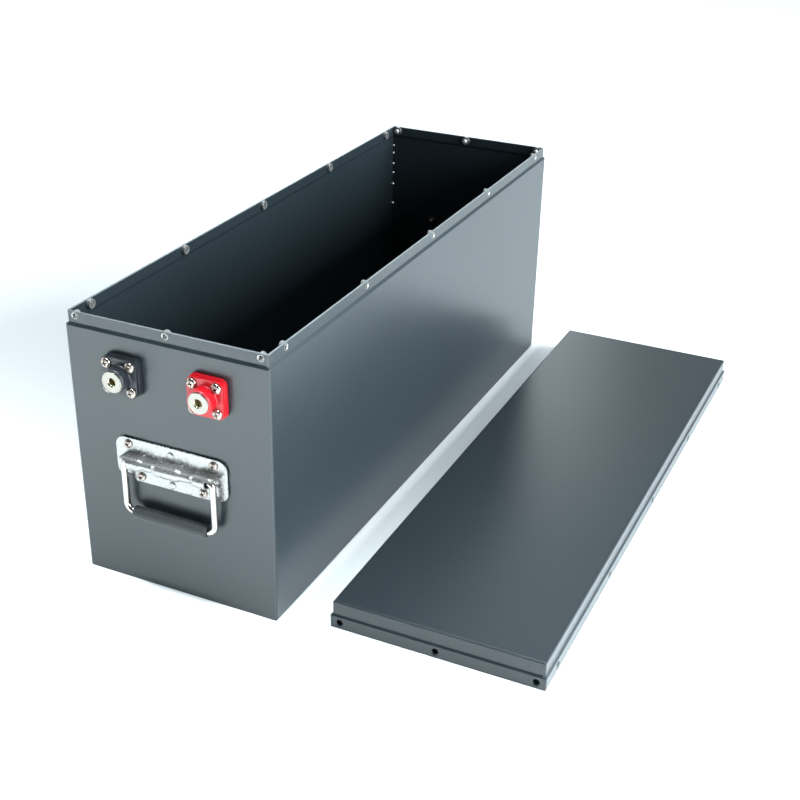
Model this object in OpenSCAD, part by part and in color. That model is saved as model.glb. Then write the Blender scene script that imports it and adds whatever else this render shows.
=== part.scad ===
// Sheet-steel battery box with a lift-off lid, two insulated through-wall
// terminals and two sprung carrying handles. Millimetres, +Z up, the front
// (terminal end) faces -Y. The origin is the centre of the floor's underside.
// The lid lies on the floor beside the box, top face up.

/* [Box] */
// outside width of the box
box_w = 200; // [180:1:240]
// outside length of the box
box_l = 650; // [560:1:720]
// height of the box to the top of its rim
box_h = 258; // [230:1:300]
// thickness of the sheet steel
sheet = 1.5; // [1.2:0.1:2]
// how far the rim is joggled in from the walls
rim_inset = 1.7; // [1.5:0.1:2.2]
// height of the straight rim band above the joggle
rim_band = 10; // [8:0.5:14]
// height of the sloping joggle
joggle_h = 3; // [2:0.5:4]
// outside radius of the bends at the floor
bend_r = 2; // [1.8:0.1:4]

/* [Lid] */
// height of the lid
lid_h = 26.5; // [20:0.2:32]
// height of the lid's outer skirt band up to its joggle
skirt_band = 11.6; // [9:0.1:14]
// height of the lid's sloping joggle
lid_joggle_h = 2; // [1.5:0.5:3]
// centre of the lid along X where it lies on the floor
lid_x = 243.4; // [215:0.1:300]
// centre of the lid along Y where it lies on the floor
lid_y = 15.2; // [-40:0.5:40]
// how far the lid is turned where it lies, in degrees
lid_turn = 0.2; // [-3:0.1:3]
// height of the lid's screw holes above its lower edge
lid_hole_z = 5.7; // [4:0.1:8]

/* [Lid fixing] */
// spacing of the five fixing points along each side
side_pitch = 147.4; // [120:0.1:165]
// spacing of the three fixing points across each end
end_pitch = 91; // [80:0.5:93]
// depth of the fixing points below the top of the rim
nut_drop = 4.3; // [4:0.1:6]
// radius of the hole in the rim for the nut's shank
nut_seat_r = 3.2; // [3:0.05:3.4]
// radius of the nut's body inside the box
nut_body_r = 4.4; // [4:0.1:5]
// length of the nut's body inside the box
nut_body_l = 3.4; // [2:0.1:5]
// thread core radius of the lid nuts, M5
nut_core_r = 2.1; // [1.6:0.05:2.2]
// radius of the lid's screw holes
lid_hole_r = 2.7; // [2.5:0.1:3]

/* [Terminals] */
// distance of each terminal from the middle of the front
term_x = 42.4; // [35:0.1:55]
// height of the terminals above the floor's underside
term_z = 210.9; // [180:0.1:225]
// side of the square insulating flange
flange_w = 36; // [32:0.5:42]
// total thickness of the flange with its gasket
flange_t = 8; // [6:0.1:10]
// corner radius of the flange
flange_r = 6; // [4:0.5:8]
// spacing of the four flange screws
flange_pitch = 23.6; // [22:0.1:26]
// radius of the insulating boss round the metal post
boss_r = 11.5; // [10.8:0.1:12]
// reach of the metal post in front of the wall
post_reach = 19; // [16:0.1:22]
// radius of the metal post
post_r = 9.85; // [8:0.1:10]
// thread core radius of the post's cable screw, M8
post_core_r = 3.35; // [3.3:0.05:3.5]

/* [Handles] */
// width of the handle plate
plate_w = 113; // [105:0.5:125]
// top edge of the handle plate above the floor's underside
plate_top = 150.1; // [140:0.5:160]
// lower end of the plate's ears
ear_bottom = 110.4; // [105:0.1:115]
// lower edge of the plate's middle tab
tab_bottom = 108.8; // [103:0.1:112]
// height of the handle's hinge axis
hinge_z = 130; // [120:0.1:140]
// distance of the hinge axis from the wall
hinge_out = 8; // [7.5:0.1:10]
// radius of the bail's round wire
bail_r = 3; // [2.5:0.1:4]
// distance of each leg of the bail from the middle
leg_x = 45.5; // [42:0.1:48]
// height of the bail's lower bar when it hangs
bar_z = 80.1; // [70:0.1:90]
// radius of the rubber grip
grip_r = 5.7; // [5:0.1:7]
// half of the length of the rubber grip
grip_half = 37.6; // [30:0.1:37.8]
// outside radius of the knuckle round the springs
knuckle_r = 6.4; // [6.2:0.1:7.5]
// outside radius of the knuckle at its narrow bearings
bearing_r = 4.65; // [4.5:0.05:5]

/* [Hidden] */
$fn = 64;

// gap that lets a part's through bore clear what it holds
fit = 0.02;
// overshoot of a cut past the face that it opens
cut = 1;

// heights of the joggle's two bends
joggle_z0 = box_h - rim_band - joggle_h;
joggle_z1 = box_h - rim_band;
fixing_z = box_h - nut_drop;
// a bent sheet's inner bend lies lower than its outer one by this much
bend_shift = sheet * tan(atan(rim_inset / joggle_h) / 2);
lid_bend_shift = sheet * tan(atan(rim_inset / lid_joggle_h) / 2);
// radius of the bend round the lid's top face
lid_bend_r = 2;
// depth of the 90 degree countersinks of the lid's screw holes
lid_sink = 1.1;
// radius to which the welded upright corners are dressed
weld_r = 1.4;

steel_grey = [0.25, 0.28, 0.30];
lid_grey = [0.22, 0.25, 0.27];
nickel = [0.86, 0.86, 0.82];
zinc = [0.80, 0.83, 0.84];
bare_steel = [0.62, 0.63, 0.62];
black_plastic = [0.09, 0.10, 0.12];
red_plastic = [0.80, 0.06, 0.08];
rubber = [0.10, 0.11, 0.11];

// unwelded gaps between the stitch welds of the rear panel, from the rim down
stitch_first_z = joggle_z0 - 11.4;
stitch_steps = [0, 9.5, 23, 34.9, 49.4, 74.4];
stitch_gap = [1.3, 2.2];

// M5 machine screw of the terminals: shank, head radius and height, nut
m5 = [2.5, 4.65, 3, 8, 4];
// M4 machine screw of the handles, in the same order
m4 = [2, 4, 2.6, 7, 3.2];
washer_t = 1;
nut_chamfer = 0.6;
phillips_w = 1.15;
phillips_depth = 1.7;

gasket_t = 0.8;
flange_base_t = 3.8;
flange_step = 0.7;
boss_reach = 18;
wall_hole_r = 12;
spigot_r = 11.7;
inner_plate_t = 3;
post_flange_r = 11.4;
post_flange_t = 3;
stud_r = 4;
stud_end = -26;
post_nut_t = 6.5;
post_thread_l = 14;

backing_t = 1;
plate_t = 1.2;
plate_front = backing_t + plate_t;
plate_r = 9.5;
// |x| of the slots beside the plate's middle tab
slot_x0 = 39.5;
slot_x1 = 49;
knuckle_wall = 1.2;
// the knuckle's outline: |x| where its radius changes
knuckle_mid = [10.5, 14.5];
knuckle_side = [24.5, 28.5];
knuckle_dome = 43.2;
knuckle_end = 49.8;
leg_slot = [40, 51];
leg_slot_top = 3.5;
elbow_r = 5;
corner_r = 8;
stud_inner = 13;
rivet_z = [142.7, 113.5];
rivet_head = [3.6, 1.1];
rivet_r = 1.9;
top_screw = [43.3, 144.4];
low_screw = [31.6, 114.3];
spring_x = [29.6, 38.4];
spring_turns = 6;
spring_wire_r = 0.6;
spring_coil_r = 4.1;
spring_steps = 16;
spring_sides = 6;

// ---------- placing ----------

// lays an (x, z) outline across the box and pulls it along Y
module along_y(len) {
    translate([0, len / 2, 0]) rotate([90, 0, 0]) linear_extrude(len) children();
}

// lays a (y, z) outline along the box and pulls it along X
module along_x(len) {
    translate([-len / 2, 0, 0]) rotate([90, 0, 90]) linear_extrude(len) children();
}

// local x across, local y up, local z out of the front or the rear wall
module on_wall(front) {
    if (front) {
        translate([0, -box_l / 2, 0]) rotate([90, 0, 0]) children();
    } else {
        translate([0, box_l / 2, 0]) rotate([90, 0, 180]) children();
    }
}

// both terminals, on the front wall
module at_terminals() {
    for (side = [-1, 1]) on_wall(true) translate([side * term_x, term_z, 0]) children();
}

// the four screw places of one terminal
module at_flange_screws() {
    for (sx = [-1, 1], sy = [-1, 1]) {
        translate([sx * flange_pitch / 2, sy * flange_pitch / 2, 0]) children();
    }
}

// the four screw places of one handle, seen on its wall
module at_handle_screws() {
    for (s = [-1, 1], p = [top_screw, low_screw]) translate([s * p[0], p[1], 0]) children();
}

// the two rivet places of one handle
module at_rivets() {
    for (z = rivet_z) translate([0, z, 0]) children();
}

// the sixteen fixing points of the rim; local z points outward
module at_fixings(inset, height) {
    for (k = [-2:2], side = [0, 180]) {
        rotate([0, 0, side]) translate([box_w / 2 - inset, k * side_pitch, height])
            rotate([0, 90, 0]) children();
    }
    for (k = [-1:1], end = [0, 180]) {
        rotate([0, 0, end]) translate([k * end_pitch, -box_l / 2 + inset, height])
            rotate([90, 0, 0]) children();
    }
}

// ---------- shared shapes ----------

module round_rect(w, h, r) {
    square([w - 2 * r, h], center = true);
    square([w, h - 2 * r], center = true);
    for (sx = [-1, 1], sy = [-1, 1]) {
        translate([sx * (w / 2 - r), sy * (h / 2 - r)]) circle(r);
    }
}

// points of a bend of radius r, with its centre at c, from angle a0 to a1
function bend(c, r, a0, a1) = [for (k = [0:3]) let (a = a0 + (a1 - a0) * k / 3)
    [c[0] + r * cos(a), c[1] + r * sin(a)]];

// half of the tub's outline for a half width w, offset inward by d
function tub_half(w, d) = concat(
    bend([w - bend_r, bend_r], bend_r - d, -90, 0),
    [[w - d, joggle_z0 - (d > 0 ? bend_shift : 0)],
     [w - rim_inset - d, joggle_z1 - (d > 0 ? bend_shift : 0)],
     [w - rim_inset - d, box_h + (d > 0 ? cut : 0)]]
);

// half of the lid's outline for a half width w, offset inward by d
function lid_half(w, d) = concat(
    [[w - d, d > 0 ? -cut : 0],
     [w - d, skirt_band - (d > 0 ? lid_bend_shift : 0)],
     [w - rim_inset - d, skirt_band + lid_joggle_h - (d > 0 ? lid_bend_shift : 0)]],
    bend([w - rim_inset - lid_bend_r, lid_h - lid_bend_r], lid_bend_r - d, 0, 90)
);

// a half outline closed by its own mirror image
function whole(half) = concat(
    half, [for (k = [len(half) - 1:-1:0]) [-half[k][0], half[k][1]]]
);

// what rounds the four upright corners of a w x l block between two heights
module corner_cuts(w, l, r, z0, z1) {
    for (sx = [0, 1], sy = [0, 1]) mirror([sx, 0, 0]) mirror([0, sy, 0])
        translate([0, 0, z0]) linear_extrude(z1 - z0) polygon(concat(
            bend([w / 2 - r, l / 2 - r], r, 0, 90),
            [[w / 2 - r, l / 2 + cut], [w / 2 + cut, l / 2 + cut], [w / 2 + cut, l / 2 - r]]
        ));
}

// both corner cuts of a joggled shell, below and above the middle of its joggle
module joggled_corner_cuts(r, mid, top) {
    corner_cuts(box_w, box_l, r, -cut, mid);
    corner_cuts(box_w - 2 * rim_inset, box_l - 2 * rim_inset, r, mid, top + cut);
}

// pan-head machine screw along z, head on z = 0, shank reaching down
module pan_screw(size, reach) {
    r = size[0];
    head_r = size[1];
    head_h = size[2];
    difference() {
        rotate_extrude() polygon([
            [0, -reach], [r - 0.3, -reach], [r, -reach + 0.5], [r, 0], [head_r, 0],
            [head_r, head_h * 0.4], [head_r * 0.93, head_h * 0.62],
            [head_r * 0.72, head_h * 0.84], [head_r * 0.4, head_h * 0.97], [0, head_h]
        ]);
        for (turn = [0, 90]) rotate([0, 0, turn + 20])
            translate([-head_r * 0.56, -phillips_w / 2, head_h - phillips_depth])
                cube([head_r * 1.12, phillips_w, phillips_depth + cut]);
        translate([0, 0, head_h - phillips_depth]) cylinder(h = phillips_depth + cut, r = 1.3);
    }
}

// plain washer from z = 0 downward
module washer(size) {
    translate([0, 0, -washer_t]) difference() {
        cylinder(h = washer_t, r = size[1] + 0.1);
        translate([0, 0, -cut]) cylinder(h = washer_t + 2 * cut, r = size[0] + 0.15);
    }
}

// hexagon nut from z = 0 downward, across flats af
module hex_nut(af, height, hole_r) {
    corner = af / sqrt(3);
    difference() {
        intersection() {
            translate([0, 0, -height]) cylinder(h = height, r = corner, $fn = 6);
            rotate_extrude() polygon([
                [0, 0], [af / 2, 0], [corner, -nut_chamfer], [corner, -height + nut_chamfer],
                [af / 2, -height], [0, -height]
            ]);
        }
        translate([0, 0, -height - cut]) cylinder(h = height + 2 * cut, r = hole_r);
    }
}

// ---------- box ----------

// floor and both long sides, bent from one sheet
module side_wrap() color(steel_grey) difference() {
    intersection() {
        along_y(box_l) polygon(whole(tub_half(box_w / 2, 0)));
        along_x(box_w + 2 * cut) polygon([
            [-box_l / 2, 0], [box_l / 2, 0],
            [box_l / 2, joggle_z0], [box_l / 2 - rim_inset, joggle_z1],
            [box_l / 2 - rim_inset, box_h], [-box_l / 2 + rim_inset, box_h],
            [-box_l / 2 + rim_inset, joggle_z1], [-box_l / 2, joggle_z0]
        ]);
    }
    along_y(box_l + 2 * cut) polygon(whole(tub_half(box_w / 2, sheet)));
    for (k = [-2:2]) translate([0, k * side_pitch, fixing_z]) rotate([0, 90, 0])
        cylinder(h = box_w + 2 * cut, r = nut_seat_r + fit, center = true);
    joggled_corner_cuts(weld_r, (joggle_z0 + joggle_z1) / 2, box_h);
}

// end wall standing between the long sides, joggled in at its rim
module end_panel() {
    edge = box_l / 2;
    intersection() {
        along_x(box_w) polygon([
            [-edge, sheet], [-edge, joggle_z0], [-edge + rim_inset, joggle_z1],
            [-edge + rim_inset, box_h], [-edge + rim_inset + sheet, box_h],
            [-edge + rim_inset + sheet, joggle_z1 - bend_shift],
            [-edge + sheet, joggle_z0 - bend_shift], [-edge + sheet, sheet]
        ]);
        along_y(box_l + 2 * cut) polygon(whole(tub_half(box_w / 2, sheet)));
    }
}

module fixing_holes_in_end() {
    for (k = [-1:1]) translate([k * end_pitch, 0, fixing_z]) rotate([90, 0, 0])
        cylinder(h = box_l + 2 * cut, r = nut_seat_r + fit, center = true);
}

module handle_screw_holes() {
    at_handle_screws() translate([0, 0, -sheet - cut])
        cylinder(h = sheet + plate_front + 2 * cut, r = m4[0] + 0.25);
}

module front_panel() color(steel_grey) difference() {
    end_panel();
    fixing_holes_in_end();
    on_wall(true) handle_screw_holes();
    at_terminals() {
        translate([0, 0, -sheet - cut]) cylinder(h = sheet + 2 * cut, r = wall_hole_r);
        at_flange_screws() translate([0, 0, -sheet - cut])
            cylinder(h = sheet + 2 * cut, r = m5[0] + 0.25);
    }
}

module rear_panel() color(steel_grey) difference() {
    rotate([0, 0, 180]) end_panel();
    fixing_holes_in_end();
    on_wall(false) handle_screw_holes();
    for (side = [-1, 1], drop = stitch_steps) {
        translate([side * (box_w / 2 - sheet), box_l / 2 - sheet / 2, stitch_first_z - drop])
            cube([2 * stitch_gap[0], sheet + 2 * cut, stitch_gap[1]], center = true);
    }
}

// clinch nuts for the lid's screws, flush with the rim's outside
module rim_nuts() color(steel_grey) at_fixings(rim_inset, fixing_z) difference() {
    union() {
        translate([0, 0, -sheet]) cylinder(h = sheet, r = nut_seat_r);
        translate([0, 0, -sheet - nut_body_l]) cylinder(h = nut_body_l, r = nut_body_r);
    }
    translate([0, 0, -sheet - nut_body_l - cut])
        cylinder(h = sheet + nut_body_l + 2 * cut, r = nut_core_r);
    translate([0, 0, -0.6]) cylinder(h = 0.6 + fit, r1 = nut_core_r, r2 = nut_core_r + 0.6);
}

// ---------- terminals ----------

module flange_screw_holes(z0, z1) {
    at_flange_screws() translate([0, 0, z0 - cut])
        cylinder(h = z1 - z0 + 2 * cut, r = m5[0] + 0.1);
}

// rubber seals between the flanges and the wall
module terminal_gaskets() color(rubber) at_terminals() difference() {
    linear_extrude(gasket_t) round_rect(flange_w - 1, flange_w - 1, flange_r - 0.5);
    translate([0, 0, -cut]) cylinder(h = gasket_t + 2 * cut, r = wall_hole_r);
    flange_screw_holes(0, gasket_t);
}

// moulded insulator: stepped square flange, round boss and a spigot through the wall
module terminal_housing() difference() {
    union() {
        translate([0, 0, gasket_t]) linear_extrude(flange_base_t)
            round_rect(flange_w, flange_w, flange_r);
        translate([0, 0, gasket_t + flange_base_t])
            linear_extrude(flange_t - gasket_t - flange_base_t)
                round_rect(flange_w - 2 * flange_step, flange_w - 2 * flange_step,
                    flange_r - flange_step);
        rotate_extrude() polygon([
            [0, -sheet], [spigot_r, -sheet], [spigot_r, gasket_t], [spigot_r, flange_t],
            [boss_r + 0.5, flange_t], [boss_r + 0.2, flange_t + 0.4], [boss_r, flange_t + 1],
            [boss_r, boss_reach - 0.8], [boss_r - 0.5, boss_reach], [0, boss_reach]
        ]);
    }
    translate([0, 0, -sheet - cut]) cylinder(h = boss_reach + sheet + 2 * cut, r = post_r + fit);
    flange_screw_holes(0, flange_t);
}

module negative_housing() color(black_plastic) {
    on_wall(true) translate([-term_x, term_z, 0]) terminal_housing();
}

module positive_housing() color(red_plastic) {
    on_wall(true) translate([term_x, term_z, 0]) terminal_housing();
}

// insulating plate behind the wall
module inner_plate() translate([0, 0, -sheet - inner_plate_t]) difference() {
    linear_extrude(inner_plate_t) round_rect(flange_w - 2, flange_w - 2, flange_r - 1);
    translate([0, 0, -cut]) cylinder(h = inner_plate_t + 2 * cut, r = post_r + fit);
    flange_screw_holes(0, inner_plate_t);
}

module negative_inner_plate() color(black_plastic) {
    on_wall(true) translate([-term_x, term_z, 0]) inner_plate();
}

module positive_inner_plate() color(red_plastic) {
    on_wall(true) translate([term_x, term_z, 0]) inner_plate();
}

// plated posts: threaded front face, shoulder behind the wall and an inner stud
module terminal_posts() color(nickel) at_terminals() {
    back = -sheet - inner_plate_t;
    difference() {
        rotate_extrude() polygon([
            [0, stud_end], [stud_r - 0.6, stud_end], [stud_r, stud_end + 0.8],
            [stud_r, back - post_flange_t], [post_flange_r, back - post_flange_t],
            [post_flange_r, back], [post_r, back], [post_r, post_reach - 0.4],
            [post_r - 0.4, post_reach], [0, post_reach]
        ]);
        translate([0, 0, post_reach - post_thread_l])
            cylinder(h = post_thread_l + cut, r = post_core_r);
        translate([0, 0, post_reach - 0.9])
            cylinder(h = 0.9 + fit, r1 = post_core_r, r2 = post_core_r + 0.9);
    }
}

module terminal_screws() color(bare_steel) at_terminals() at_flange_screws() {
    translate([0, 0, flange_t]) pan_screw(m5, flange_t + 11.5);
}

module terminal_washers() color(bare_steel) at_terminals() at_flange_screws() {
    translate([0, 0, -sheet - inner_plate_t]) washer(m5);
}

module terminal_nuts() color(bare_steel) at_terminals() at_flange_screws() {
    translate([0, 0, -sheet - inner_plate_t - washer_t]) hex_nut(m5[3], m5[4], m5[0] + fit);
}

// cable washers and nuts on the inner studs
module post_washers() color(bare_steel) at_terminals() {
    translate([0, 0, -sheet - inner_plate_t - post_flange_t - 1.6]) difference() {
        cylinder(h = 1.6, r = 8);
        translate([0, 0, -cut]) cylinder(h = 1.6 + 2 * cut, r = stud_r + 0.2);
    }
}

module post_nuts() color(bare_steel) at_terminals() {
    translate([0, 0, -sheet - inner_plate_t - post_flange_t - 1.6])
        hex_nut(13, post_nut_t, stud_r + fit);
}

// ---------- handles ----------

// half outline of the knuckle's radius along x, thinned by d
function knuckle_line(d) = [
    [knuckle_mid[0], knuckle_r - d], [knuckle_mid[1], bearing_r - d],
    [knuckle_side[0], bearing_r - d], [knuckle_side[1], knuckle_r - d],
    [knuckle_dome, knuckle_r - d], [knuckle_dome + 2.8, knuckle_r * 0.91 - d],
    [knuckle_dome + 4.9, knuckle_r * 0.7 - d], [knuckle_end - d * 0.9, knuckle_r * 0.36 - d * 0.3]
];

// the whole outline from one end to the other, on the +radius side
function knuckle_edge(d) = let (h = knuckle_line(d), n = len(h)) concat(
    [for (k = [0:n - 1]) [-h[n - 1 - k][0], h[n - 1 - k][1]]], h
);

// solid of the knuckle: half round in front, straight walls back to depth z0
module knuckle_solid(d, z0) {
    edge = knuckle_edge(d);
    last = edge[len(edge) - 1][0];
    translate([0, hinge_z, hinge_out]) rotate([0, -90, 0]) rotate([0, 0, -90])
        rotate_extrude(angle = 180) polygon(concat(
            [for (p = edge) [p[1], p[0]]], [[0, last], [0, -last]]
        ));
    translate([0, hinge_z, z0]) linear_extrude(hinge_out - z0) polygon(concat(
        edge, [for (k = [len(edge) - 1:-1:0]) [edge[k][0], -edge[k][1]]]
    ));
}

// flat outline of the handle plate: two ears and a middle tab
module plate_outline() {
    difference() {
        translate([0, (plate_top + ear_bottom) / 2])
            round_rect(plate_w, plate_top - ear_bottom, plate_r);
        translate([-slot_x1, ear_bottom - cut])
            square([2 * slot_x1, hinge_z - knuckle_r - ear_bottom + cut]);
    }
    translate([0, (tab_bottom + hinge_z) / 2]) round_rect(2 * slot_x0, hinge_z - tab_bottom, 3);
}

module handle_plate() difference() {
    union() {
        translate([0, 0, backing_t]) linear_extrude(plate_t) plate_outline();
        knuckle_solid(0, backing_t);
    }
    knuckle_solid(knuckle_wall, backing_t - cut);
    for (s = [0, 1]) mirror([s, 0, 0])
        translate([leg_slot[0], hinge_z - 2 * knuckle_r, plate_front])
            cube([leg_slot[1] - leg_slot[0], 2 * knuckle_r + leg_slot_top, 3 * knuckle_r]);
    handle_screw_holes();
    at_rivets() cylinder(h = plate_front + cut, r = rivet_r + fit);
}

module front_handle_plate() color(zinc) on_wall(true) handle_plate();

module rear_handle_plate() color(zinc) on_wall(false) handle_plate();

// flat strip between the handle plate and the wall, closing the knuckle's back
module handle_backing() difference() {
    linear_extrude(backing_t) union() {
        translate([0, (plate_top - 1 + hinge_z - 16) / 2])
            round_rect(102, plate_top - 1 - hinge_z + 16, 5);
        translate([0, (tab_bottom + 1 + hinge_z) / 2])
            round_rect(2 * slot_x0 - 4, hinge_z - tab_bottom - 1, 3);
    }
    handle_screw_holes();
    at_rivets() translate([0, 0, -cut]) cylinder(h = backing_t + 2 * cut, r = rivet_r + fit);
}

module front_handle_backing() color(zinc) on_wall(true) handle_backing();

module rear_handle_backing() color(zinc) on_wall(false) handle_backing();

module handle_rivets() color(zinc) for (front = [true, false]) on_wall(front) at_rivets() {
    rotate_extrude() polygon([
        [0, 0], [rivet_r, 0], [rivet_r, plate_front], [rivet_head[0], plate_front],
        [rivet_head[0], plate_front + 0.5], [rivet_head[0] * 0.7, plate_front + rivet_head[1]],
        [0, plate_front + rivet_head[1]]
    ]);
}

module handle_screws() color(bare_steel) for (front = [true, false]) on_wall(front)
    at_handle_screws() translate([0, 0, plate_front]) pan_screw(m4, plate_front + 7.5);

module handle_washers() color(bare_steel) for (front = [true, false]) on_wall(front)
    at_handle_screws() translate([0, 0, -sheet]) washer(m4);

module handle_nuts() color(bare_steel) for (front = [true, false]) on_wall(front)
    at_handle_screws() translate([0, 0, -sheet - washer_t]) hex_nut(m4[3], m4[4], m4[0] + fit);

// round wire bent to a U, its turned-in ends running inside the knuckle
module bail() translate([0, 0, hinge_out]) {
    for (s = [0, 1]) mirror([s, 0, 0]) {
        elbow_x = leg_x - elbow_r;
        corner_x = leg_x - corner_r;
        translate([stud_inner, hinge_z, 0]) rotate([0, 90, 0])
            cylinder(h = elbow_x - stud_inner, r = bail_r);
        translate([elbow_x, hinge_z - elbow_r, 0])
            rotate_extrude(angle = 90) translate([elbow_r, 0]) circle(bail_r);
        translate([leg_x, bar_z + corner_r, 0]) rotate([-90, 0, 0])
            cylinder(h = hinge_z - elbow_r - bar_z - corner_r, r = bail_r);
        translate([corner_x, bar_z + corner_r, 0]) rotate([0, 0, -90])
            rotate_extrude(angle = 90) translate([corner_r, 0]) circle(bail_r);
    }
    translate([-leg_x + corner_r, bar_z, 0]) rotate([0, 90, 0])
        cylinder(h = 2 * (leg_x - corner_r), r = bail_r);
}

module front_bail() color(zinc) on_wall(true) bail();

module rear_bail() color(zinc) on_wall(false) bail();

// rubber sleeve on the lower bar
module grip() translate([0, bar_z, hinge_out]) rotate([0, 90, 0]) difference() {
    rotate_extrude() polygon([
        [0, -grip_half], [grip_r - 0.8, -grip_half], [grip_r, -grip_half + 0.8],
        [grip_r, grip_half - 0.8], [grip_r - 0.8, grip_half], [0, grip_half]
    ]);
    cylinder(h = 2 * grip_half + 2 * cut, r = bail_r + fit, center = true);
}

module front_grip() color(rubber) on_wall(true) grip();

module rear_grip() color(rubber) on_wall(false) grip();

// centre of the spring wire at turn t, and the ring of points round it
function coil_at(t) = [
    spring_x[0] + (spring_x[1] - spring_x[0]) * t / spring_turns,
    spring_coil_r * cos(360 * t), spring_coil_r * sin(360 * t)
];
function coil_ring(t) = let (c = coil_at(t), u = [0, cos(360 * t), sin(360 * t)])
    [for (k = [0:spring_sides - 1]) let (a = 360 * k / spring_sides)
        c + spring_wire_r * (cos(a) * u + sin(a) * [1, 0, 0])];

// one coil spring round a bail end, its straight arm braced on the backing strip
module coil_spring() {
    arm = [0, 0, backing_t - hinge_out];
    n = spring_turns * spring_steps + 1;
    m = spring_sides;
    points = [
        for (p = coil_ring(0)) p + arm,
        for (k = [0:n - 1]) each coil_ring(k / spring_steps)
    ];
    sides = [for (k = [0:n - 1], j = [0:m - 1])
        [k * m + j, k * m + (j + 1) % m, (k + 1) * m + (j + 1) % m, (k + 1) * m + j]];
    first = [for (j = [m - 1:-1:0]) j];
    last = [for (j = [0:m - 1]) n * m + j];
    polyhedron(points, concat(sides, [first], [last]));
}

module bail_springs() for (s = [0, 1]) mirror([s, 0, 0])
    translate([0, hinge_z, hinge_out]) coil_spring();

module front_bail_springs() color(bare_steel) on_wall(true) bail_springs();

module rear_bail_springs() color(bare_steel) on_wall(false) bail_springs();

// ---------- lid ----------

// shallow pan whose skirt slips over the rim, lying top up beside the box
module lid_shell() color(lid_grey) translate([lid_x, lid_y, 0]) rotate([0, 0, lid_turn])
    difference() {
        intersection() {
            along_y(box_l) polygon(whole(lid_half(box_w / 2, 0)));
            along_x(box_w) polygon(whole(lid_half(box_l / 2, 0)));
        }
        intersection() {
            along_y(box_l) polygon(whole(lid_half(box_w / 2, sheet)));
            along_x(box_w) polygon(whole(lid_half(box_l / 2, sheet)));
        }
        at_fixings(0, lid_hole_z) cylinder(h = 3 * sheet, r = lid_hole_r, center = true);
        at_fixings(0, lid_hole_z) translate([0, 0, -lid_sink])
            cylinder(h = lid_sink + 0.1, r1 = lid_hole_r, r2 = lid_hole_r + lid_sink + 0.1);
        joggled_corner_cuts(weld_r, skirt_band + lid_joggle_h / 2, lid_h);
    }

side_wrap();
front_panel();
rear_panel();
rim_nuts();
negative_housing();
positive_housing();
terminal_gaskets();
negative_inner_plate();
positive_inner_plate();
terminal_posts();
terminal_screws();
terminal_washers();
terminal_nuts();
post_washers();
post_nuts();
front_handle_plate();
rear_handle_plate();
front_handle_backing();
rear_handle_backing();
handle_rivets();
handle_screws();
handle_washers();
handle_nuts();
front_bail_springs();
rear_bail_springs();
front_bail();
rear_bail();
front_grip();
rear_grip();
lid_shell();
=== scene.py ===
import math

import bpy
from mathutils import Matrix, Vector


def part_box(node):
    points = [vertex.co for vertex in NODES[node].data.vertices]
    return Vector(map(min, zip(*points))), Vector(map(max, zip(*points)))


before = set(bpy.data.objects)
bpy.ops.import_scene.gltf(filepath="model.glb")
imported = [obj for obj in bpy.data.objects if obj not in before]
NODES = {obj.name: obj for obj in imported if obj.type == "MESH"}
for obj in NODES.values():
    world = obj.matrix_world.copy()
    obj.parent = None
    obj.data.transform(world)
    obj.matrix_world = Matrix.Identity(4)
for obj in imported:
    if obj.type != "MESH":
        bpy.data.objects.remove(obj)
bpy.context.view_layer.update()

MM = 0.001

# the mix node's sockets when it mixes colours: its names repeat for every data type
MIX_FAC, MIX_A, MIX_B, MIX_RESULT = 0, 6, 7, 2

# ---------------------------------------------------------------- node helpers


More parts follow.
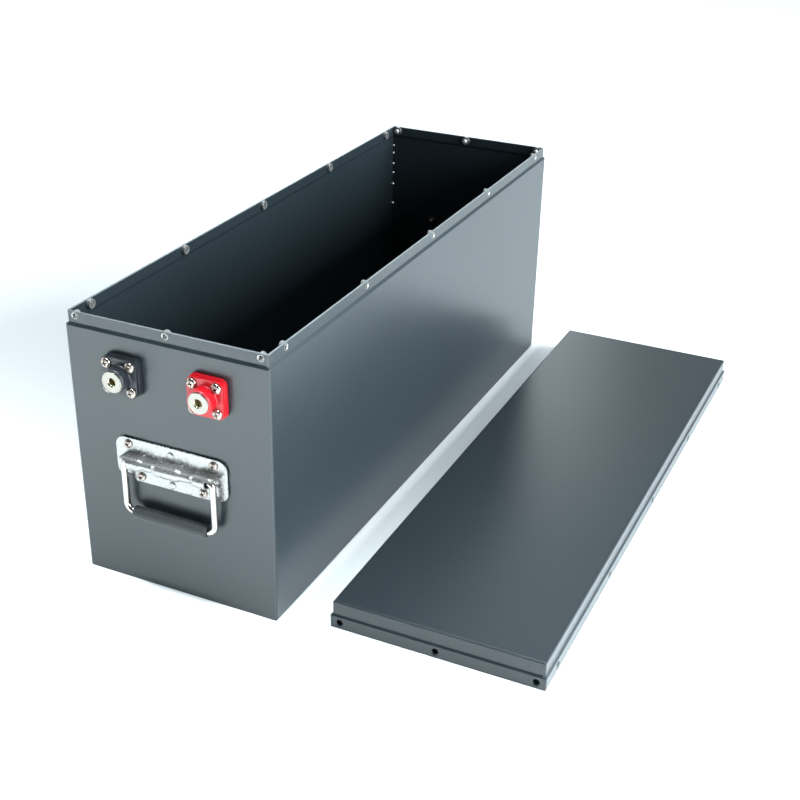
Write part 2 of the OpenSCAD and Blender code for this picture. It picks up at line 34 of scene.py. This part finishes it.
class Shader:
    """A material whose node tree is built from a few short calls."""

    def __init__(self, name, color, **sockets):
        self.mat = bpy.data.materials.new(name)
        self.mat.use_nodes = True
        self.mat.diffuse_color = (*color, 1.0)
        self.tree = self.mat.node_tree
        self.bsdf = self.tree.nodes["Principled BSDF"]
        self.bsdf.inputs["Base Color"].default_value = (*color, 1.0)
        for socket, value in sockets.items():
            self.bsdf.inputs[socket.replace("_", " ")].default_value = value
        self.coords = self.node("ShaderNodeTexCoord").outputs["Object"]

    def node(self, kind, inputs=None, **attributes):
        made = self.tree.nodes.new(kind)
        for name, value in attributes.items():
            setattr(made, name, value)
        for key, value in (inputs or {}).items():
            if isinstance(value, bpy.types.NodeSocket):
                self.tree.links.new(value, made.inputs[key])
            else:
                made.inputs[key].default_value = value
        return made

    def stretched(self, scale):
        return self.node("ShaderNodeMapping", {"Vector": self.coords, "Scale": scale}).outputs[0]

    def noise(self, scale, detail=2.0, roughness=0.5, vector=None):
        return self.node("ShaderNodeTexNoise", {
            "Vector": vector or self.coords, "Scale": scale,
            "Detail": detail, "Roughness": roughness,
        }).outputs["Fac"]

    def cells(self, scale):
        return self.node("ShaderNodeTexVoronoi", {
            "Vector": self.coords, "Scale": scale, "Randomness": 1.0,
        }).outputs["Distance"]

    def math(self, operation, a, b=0.0, clamp=False):
        made = self.node("ShaderNodeMath", {0: a, 1: b}, operation=operation, use_clamp=clamp)
        return made.outputs[0]

    def span(self, value, low, high, to_low=0.0, to_high=1.0):
        return self.node("ShaderNodeMapRange", {
            "Value": value, "From Min": low, "From Max": high,
            "To Min": to_low, "To Max": to_high,
        }).outputs["Result"]

    def mix(self, fac, a, b):
        """Colour a where fac is 0, colour b where it is 1; a and b are sockets or RGB."""
        a, b = (v if isinstance(v, bpy.types.NodeSocket) else (*v, 1.0) for v in (a, b))
        made = self.node("ShaderNodeMix", {MIX_FAC: fac, MIX_A: a, MIX_B: b}, data_type="RGBA")
        return made.outputs[MIX_RESULT]

    def edges(self, radius):
        """1 on sharp edges, falling to 0 a radius away, and the rounded normal there."""
        rounded = self.node("ShaderNodeBevel", {"Radius": radius}, samples=6).outputs[0]
        true = self.node("ShaderNodeNewGeometry").outputs["Normal"]
        facing = self.node("ShaderNodeVectorMath", {0: rounded, 1: true}, operation="DOT_PRODUCT")
        return self.span(facing.outputs["Value"], 0.99, 0.80), rounded

    def bump(self, height, distance, normal):
        """The normal, disturbed by a height that runs from 0 to 1 over the given distance."""
        return self.node("ShaderNodeBump", {
            "Height": height, "Distance": distance, "Strength": 1.0, "Normal": normal,
        }).outputs[0]

    def link(self, socket, value):
        self.tree.links.new(value, self.bsdf.inputs[socket])


# ---------------------------------------------------------------- materials


# pale grey for the rim's sheared top edge: bare steel, made pale enough to be a painted highlight as
# well
CUT_STEEL_HIGHLIGHT = (0.17, 0.19, 0.20)
THREAD_COLOR = (0.80, 0.72, 0.52)
RING_PITCH = 0.32


def scaled(color, k):
    return tuple(min(1.0, c * k) for c in color)


def powder_coat(name, color, roughness=0.30, cut_highlight_height=None):
    """Fine-textured powder coat: orange peel, faint clouding, paler edges that are a painted highlight
    broken up like a thinner, worn coat.

    cut_highlight_height is the height from which the rim's top edge is painted pale grey, the bare
    sheared edge and a painted highlight on it, in metres.
    """
    s = Shader(name, color, Roughness=roughness, IOR=1.52)
    edge, rounded = s.edges(0.8 * MM)
    cloud = s.noise(5.0, 3.0)
    grain = s.noise(1400.0, 2.0)
    body = s.mix(s.span(cloud, 0.35, 0.65), scaled(color, 0.93), scaled(color, 1.07))
    body = s.mix(s.span(grain, 0.45, 0.75, 0.0, 0.35), body, scaled(color, 1.6))
    # painted highlight along every edge, patchy like a worn coat
    wear_and_highlight = s.math("MULTIPLY", edge, s.span(s.noise(160.0, 3.0), 0.25, 0.6), clamp=True)
    body = s.mix(s.math("MULTIPLY", wear_and_highlight, 0.7), body, scaled(color, 5.0))
    if cut_highlight_height is not None:
        # the rim's top edge painted pale: bare sheared steel and a painted highlight
        height = s.node("ShaderNodeSeparateXYZ", {"Vector": s.coords}).outputs["Z"]
        sheared_highlight = s.span(height, cut_highlight_height - 0.5 * MM, cut_highlight_height - 0.1 * MM)
        sheared_highlight = s.math("MULTIPLY", sheared_highlight, s.span(s.noise(90.0, 3.0), 0.25, 0.65, 0.65, 1.0))
        body = s.mix(sheared_highlight, body, CUT_STEEL_HIGHLIGHT)
    s.link("Base Color", body)
    s.link("Roughness", s.span(s.noise(300.0, 3.0), 0.3, 0.7, roughness - 0.015, roughness + 0.02))
    peel = s.bump(s.noise(650.0, 2.0), 0.03 * MM, rounded)
    s.link("Normal", s.bump(grain, 0.012 * MM, peel))
    return s.mat


def plated(name, color, roughness, brushed=(1.0, 1.0, 1.0), scratch=0.004, waves=0.0,
           metallic=1.0):
    """Plated metal: faint clouds, fine drawn scratches, pressed waviness, rounded edges with a painted
    highlight.

    brushed stretches the scratches along its smallest axis; scratch and waves are depths in mm;
    a metallic below 1 adds the dull bloom of a passivated coat.
    """
    s = Shader(name, color, Metallic=metallic, Roughness=roughness)
    edge, rounded = s.edges(0.3 * MM)
    cloud = s.noise(70.0, 3.0, 0.6)
    body = s.mix(s.span(cloud, 0.35, 0.7), scaled(color, 0.97), scaled(color, 1.03))
    # edges lightened: a painted highlight
    s.link("Base Color", s.mix(s.math("MULTIPLY", edge, 0.4), body, scaled(color, 1.4)))
    s.link("Roughness", s.span(s.noise(150.0, 2.0), 0.3, 0.7, roughness - 0.03, roughness + 0.04))
    normal = rounded
    if waves:
        normal = s.bump(s.noise(70.0, 1.0), waves * MM, normal)
    lines = s.noise(900.0, 2.0, 0.6, s.stretched(brushed))
    s.link("Normal", s.bump(lines, scratch * MM, normal))
    return s.mat


def turned_nickel(name, color, centre, bore):
    """Lathe-turned nickel plate: fine rings round each post's axis, bright threads in its bore, a
    painted highlight on its edges.

    centre is the posts' distance from x = 0 and their height, in metres; bore is a radius in mm.
    """
    s = Shader(name, color, Metallic=1.0, Roughness=0.24)
    edge, rounded = s.edges(0.35 * MM)
    xyz = s.node("ShaderNodeSeparateXYZ", {"Vector": s.coords}).outputs
    across = s.math("SUBTRACT", s.math("ABSOLUTE", xyz["X"]), centre[0])
    up = s.math("SUBTRACT", xyz["Z"], centre[1])
    squares = s.math("ADD", s.math("MULTIPLY", across, across), s.math("MULTIPLY", up, up))
    radius = s.math("SQRT", squares)
    rings = s.math("SINE", s.math("MULTIPLY", radius, 2 * math.pi / (RING_PITCH * MM)))
    tarnish = s.span(s.noise(110.0, 3.0), 0.35, 0.7)
    body = s.mix(tarnish, scaled(color, 0.94), scaled(color, 1.03))
    # edges lightened: a painted highlight
    body = s.mix(s.math("MULTIPLY", edge, 0.5), body, scaled(color, 1.35))
    inside = s.span(radius, (bore + 0.6) * MM, (bore + 0.3) * MM)
    s.link("Base Color", s.mix(inside, body, THREAD_COLOR))
    s.link("Roughness", s.span(s.noise(300.0, 2.0), 0.3, 0.7, 0.22, 0.28))
    s.link("Normal", s.bump(rings, 0.0015 * MM, rounded))
    return s.mat


def moulded(name, color, roughness, dust=(0.5, 0.5, 0.5)):
    """Injection-moulded plastic: faint flow marks, satin grain, a trace of dust, soft edges with a
    painted highlight.
    """
    s = Shader(name, color, Roughness=roughness, IOR=1.5)
    edge, rounded = s.edges(0.4 * MM)
    flow = s.noise(45.0, 3.0, 0.5, s.stretched((1.0, 1.0, 0.35)))
    body = s.mix(s.span(flow, 0.35, 0.68), scaled(color, 0.93), scaled(color, 1.06))
    specks = s.span(s.noise(1300.0, 2.0), 0.70, 0.80, 0.0, 0.03)
    body = s.mix(specks, body, dust)
    # edges lightened: a painted highlight
    s.link("Base Color", s.mix(s.math("MULTIPLY", edge, 0.25), body, scaled(color, 1.6)))
    s.link("Roughness", s.span(s.noise(300.0, 3.0), 0.3, 0.7, roughness - 0.02, roughness + 0.03))
    s.link("Normal", s.bump(s.noise(1100.0, 2.0), 0.012 * MM, rounded))
    return s.mat


def soft_rubber(name, color):
    """Matt moulded rubber: pebbled skin, greyish bloom, slight wear."""
    s = Shader(name, color, Roughness=0.62, IOR=1.45, Sheen_Weight=0.12, Sheen_Roughness=0.5)
    _, rounded = s.edges(0.5 * MM)
    bloom = s.span(s.noise(70.0, 5.0, 0.6), 0.40, 0.75, 0.0, 0.5)
    body = s.mix(bloom, color, scaled(color, 2.2))
    pebbles = s.cells(750.0)
    s.link("Base Color", s.mix(s.span(pebbles, 0.2, 0.7, 0.0, 0.3), body, scaled(color, 1.8)))
    s.link("Roughness", s.span(s.noise(200.0, 3.0), 0.3, 0.7, 0.55, 0.72))
    s.link("Normal", s.bump(pebbles, 0.05 * MM, rounded))
    return s.mat


SLATE = (0.0125, 0.018, 0.0215)
POST_AXIS = (0.0424, 0.2109)
paint = powder_coat("box_paint", SLATE, cut_highlight_height=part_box("side_wrap")[1][2])
# the box's own slate paint darkened by 0.92: painted shade on the lid's top
lid_paint = powder_coat("lid_paint", scaled(SLATE, 0.92))
zinc = plated("zinc", (0.335, 0.330, 0.320), 0.27, brushed=(1.0, 1.0, 0.12),
              scratch=0.0012, waves=0.02, metallic=0.74)
wire_zinc = plated("wire_zinc", (0.40, 0.37, 0.34), 0.20, scratch=0.002)
fastener = plated("fastener", (0.34, 0.285, 0.25), 0.25, scratch=0.003)
spring_wire = plated("spring_wire", (0.25, 0.25, 0.25), 0.30)
nickel = turned_nickel("nickel", (0.238, 0.222, 0.194), POST_AXIS, bore=3.35)
black = moulded("black_plastic", (0.012, 0.014, 0.018), 0.36)
red = moulded("red_plastic", (0.43, 0.004, 0.010), 0.30, dust=(0.7, 0.25, 0.25))
rubber = soft_rubber("rubber", (0.010, 0.0115, 0.012))

FINISH = {
    paint: ["side_wrap", "front_panel", "rear_panel"],
    lid_paint: ["lid_shell"],
    zinc: ["front_handle_plate", "rear_handle_plate", "front_handle_backing",
           "rear_handle_backing", "handle_rivets", "rim_nuts"],
    wire_zinc: ["front_bail", "rear_bail"],
    fastener: ["terminal_screws", "terminal_washers", "terminal_nuts", "post_washers",
               "post_nuts", "handle_screws", "handle_washers", "handle_nuts"],
    spring_wire: ["front_bail_springs", "rear_bail_springs"],
    nickel: ["terminal_posts"],
    black: ["negative_housing", "negative_inner_plate"],
    red: ["positive_housing", "positive_inner_plate"],
    rubber: ["terminal_gaskets", "front_grip", "rear_grip"],
}
for material, names in FINISH.items():
    for name in names:
        for holder in NODES[name].material_slots:
            holder.material = material

# ---------------------------------------------------------------- studio

FLOOR_SIZE = 16.0
FLOOR_GAP = 0.4 * MM
bpy.ops.mesh.primitive_plane_add(size=FLOOR_SIZE, location=(0.0, 0.0, -FLOOR_GAP))
floor = bpy.context.object
floor.name = "floor"
paper = Shader("floor_paper", (0.90, 0.90, 0.90), Roughness=0.75)
paper.link("Base Color", paper.mix(paper.noise(3.0, 3.0), (0.895, 0.897, 0.90), (0.905, 0.905, 0.905)))
floor.data.materials.append(paper.mat)

world = bpy.data.worlds.new("studio")
bpy.context.scene.world = world
world.use_nodes = True
sky = world.node_tree


def sky_node(kind, inputs, **attributes):
    made = sky.nodes.new(kind)
    for name, value in attributes.items():
        setattr(made, name, value)
    for key, value in inputs.items():
        if isinstance(value, bpy.types.NodeSocket):
            sky.links.new(value, made.inputs[key])
        else:
            made.inputs[key].default_value = value
    return made.outputs


def sky_ramp(value, low, high, at_low, at_high):
    return sky_node("ShaderNodeMapRange", {
        "Value": value, "From Min": low, "From Max": high, "To Min": at_low, "To Max": at_high,
    }, interpolation_type="SMOOTHSTEP")["Result"]


# a dim room in front, a paler one behind, a soft glow overhead; to the camera an even pale backdrop
FRONT_ROOM, BACK_ROOM, OVERHEAD = 0.05, 0.48, 1.40
COOL = (0.84, 0.95, 1.0)
toward = sky_node("ShaderNodeSeparateXYZ", {
    0: sky.nodes.new("ShaderNodeTexCoord").outputs["Generated"],
})
height = sky_ramp(toward["Z"], 0.50, 0.85, BACK_ROOM, OVERHEAD)
behind = sky_ramp(toward["Y"], -0.60, 0.05, 0.0, 1.0)
glow = sky_node("ShaderNodeMix", {0: behind, 2: FRONT_ROOM, 3: height})[0]
seen = sky_node("ShaderNodeMix", {
    0: sky.nodes.new("ShaderNodeLightPath").outputs["Is Camera Ray"], 2: glow, 3: 1.0,
})[0]
sky.links.new(seen, sky.nodes["Background"].inputs["Strength"])
sky.nodes["Background"].inputs["Color"].default_value = (*COOL, 1.0)


def softbox(name, place, aim, size, radiance, spread=180.0):
    """A soft area light of a given radiance; it never shows to the camera itself."""
    light = bpy.data.lights.new(name, "AREA")
    light.shape = "RECTANGLE"
    light.size, light.size_y = size
    light.energy = radiance * math.pi * size[0] * size[1]
    light.spread = math.radians(spread)
    light.color = COOL
    holder = bpy.data.objects.new(name, light)
    holder.location = place
    holder.rotation_euler = (Vector(aim) - Vector(place)).to_track_quat("-Z", "Y").to_euler()
    holder.visible_camera = False
    bpy.context.scene.collection.objects.link(holder)


softbox("right_window", (2.6, 0.1, 1.05), (0.0, 0.0, 0.15), (3.0, 1.5), 19.0)
softbox("left_window", (-2.8, -0.3, 1.0), (0.0, 0.0, 0.15), (2.6, 1.4), 4.5)
softbox("back_left_panel", (-1.22, 2.6, 1.30), (0.1, 0.1, 0.1), (1.55, 1.0), 2.8)
softbox("lid_side_wash", (0.64, 0.02, 2.6), (0.64, 0.02, 0.0), (0.6, 0.8), 1.2, spread=16.0)
softbox("floor_wash", (0.72, -1.15, 2.6), (0.72, -1.15, 0.0), (3.0, 1.4), 4.3, spread=26.0)

# ---------------------------------------------------------------- camera


def camera(place, azimuth, elevation, roll, focal_px, centre_px, side_px=800.0, sensor=36.0):
    a, e, r = (math.radians(v) for v in (azimuth, elevation, roll))
    back = Vector((math.sin(a) * math.cos(e), -math.cos(a) * math.cos(e), math.sin(e)))
    right = (-back).cross(Vector((0.0, 0.0, 1.0))).normalized()
    up = right.cross(-back)
    right, up = right * math.cos(r) + up * math.sin(r), up * math.cos(r) - right * math.sin(r)
    data = bpy.data.cameras.new("camera")
    data.sensor_width = sensor
    data.lens = focal_px / side_px * sensor
    data.shift_x = (side_px / 2 - centre_px[0]) / side_px
    data.shift_y = (centre_px[1] - side_px / 2) / side_px
    data.clip_start, data.clip_end = 0.01, 50.0
    made = bpy.data.objects.new("camera", data)
    made.matrix_world = Matrix((right, up, back)).transposed().to_4x4()
    made.location = place
    bpy.context.scene.collection.objects.link(made)
    bpy.context.scene.camera = made


camera((0.58842, -1.14237, 0.70787), 24.692, 28.037, 1.124, 1324.6, (397.45, 419.72))

bpy.context.scene.view_settings.view_transform = "Standard"
bpy.context.scene.view_settings.look = "None"
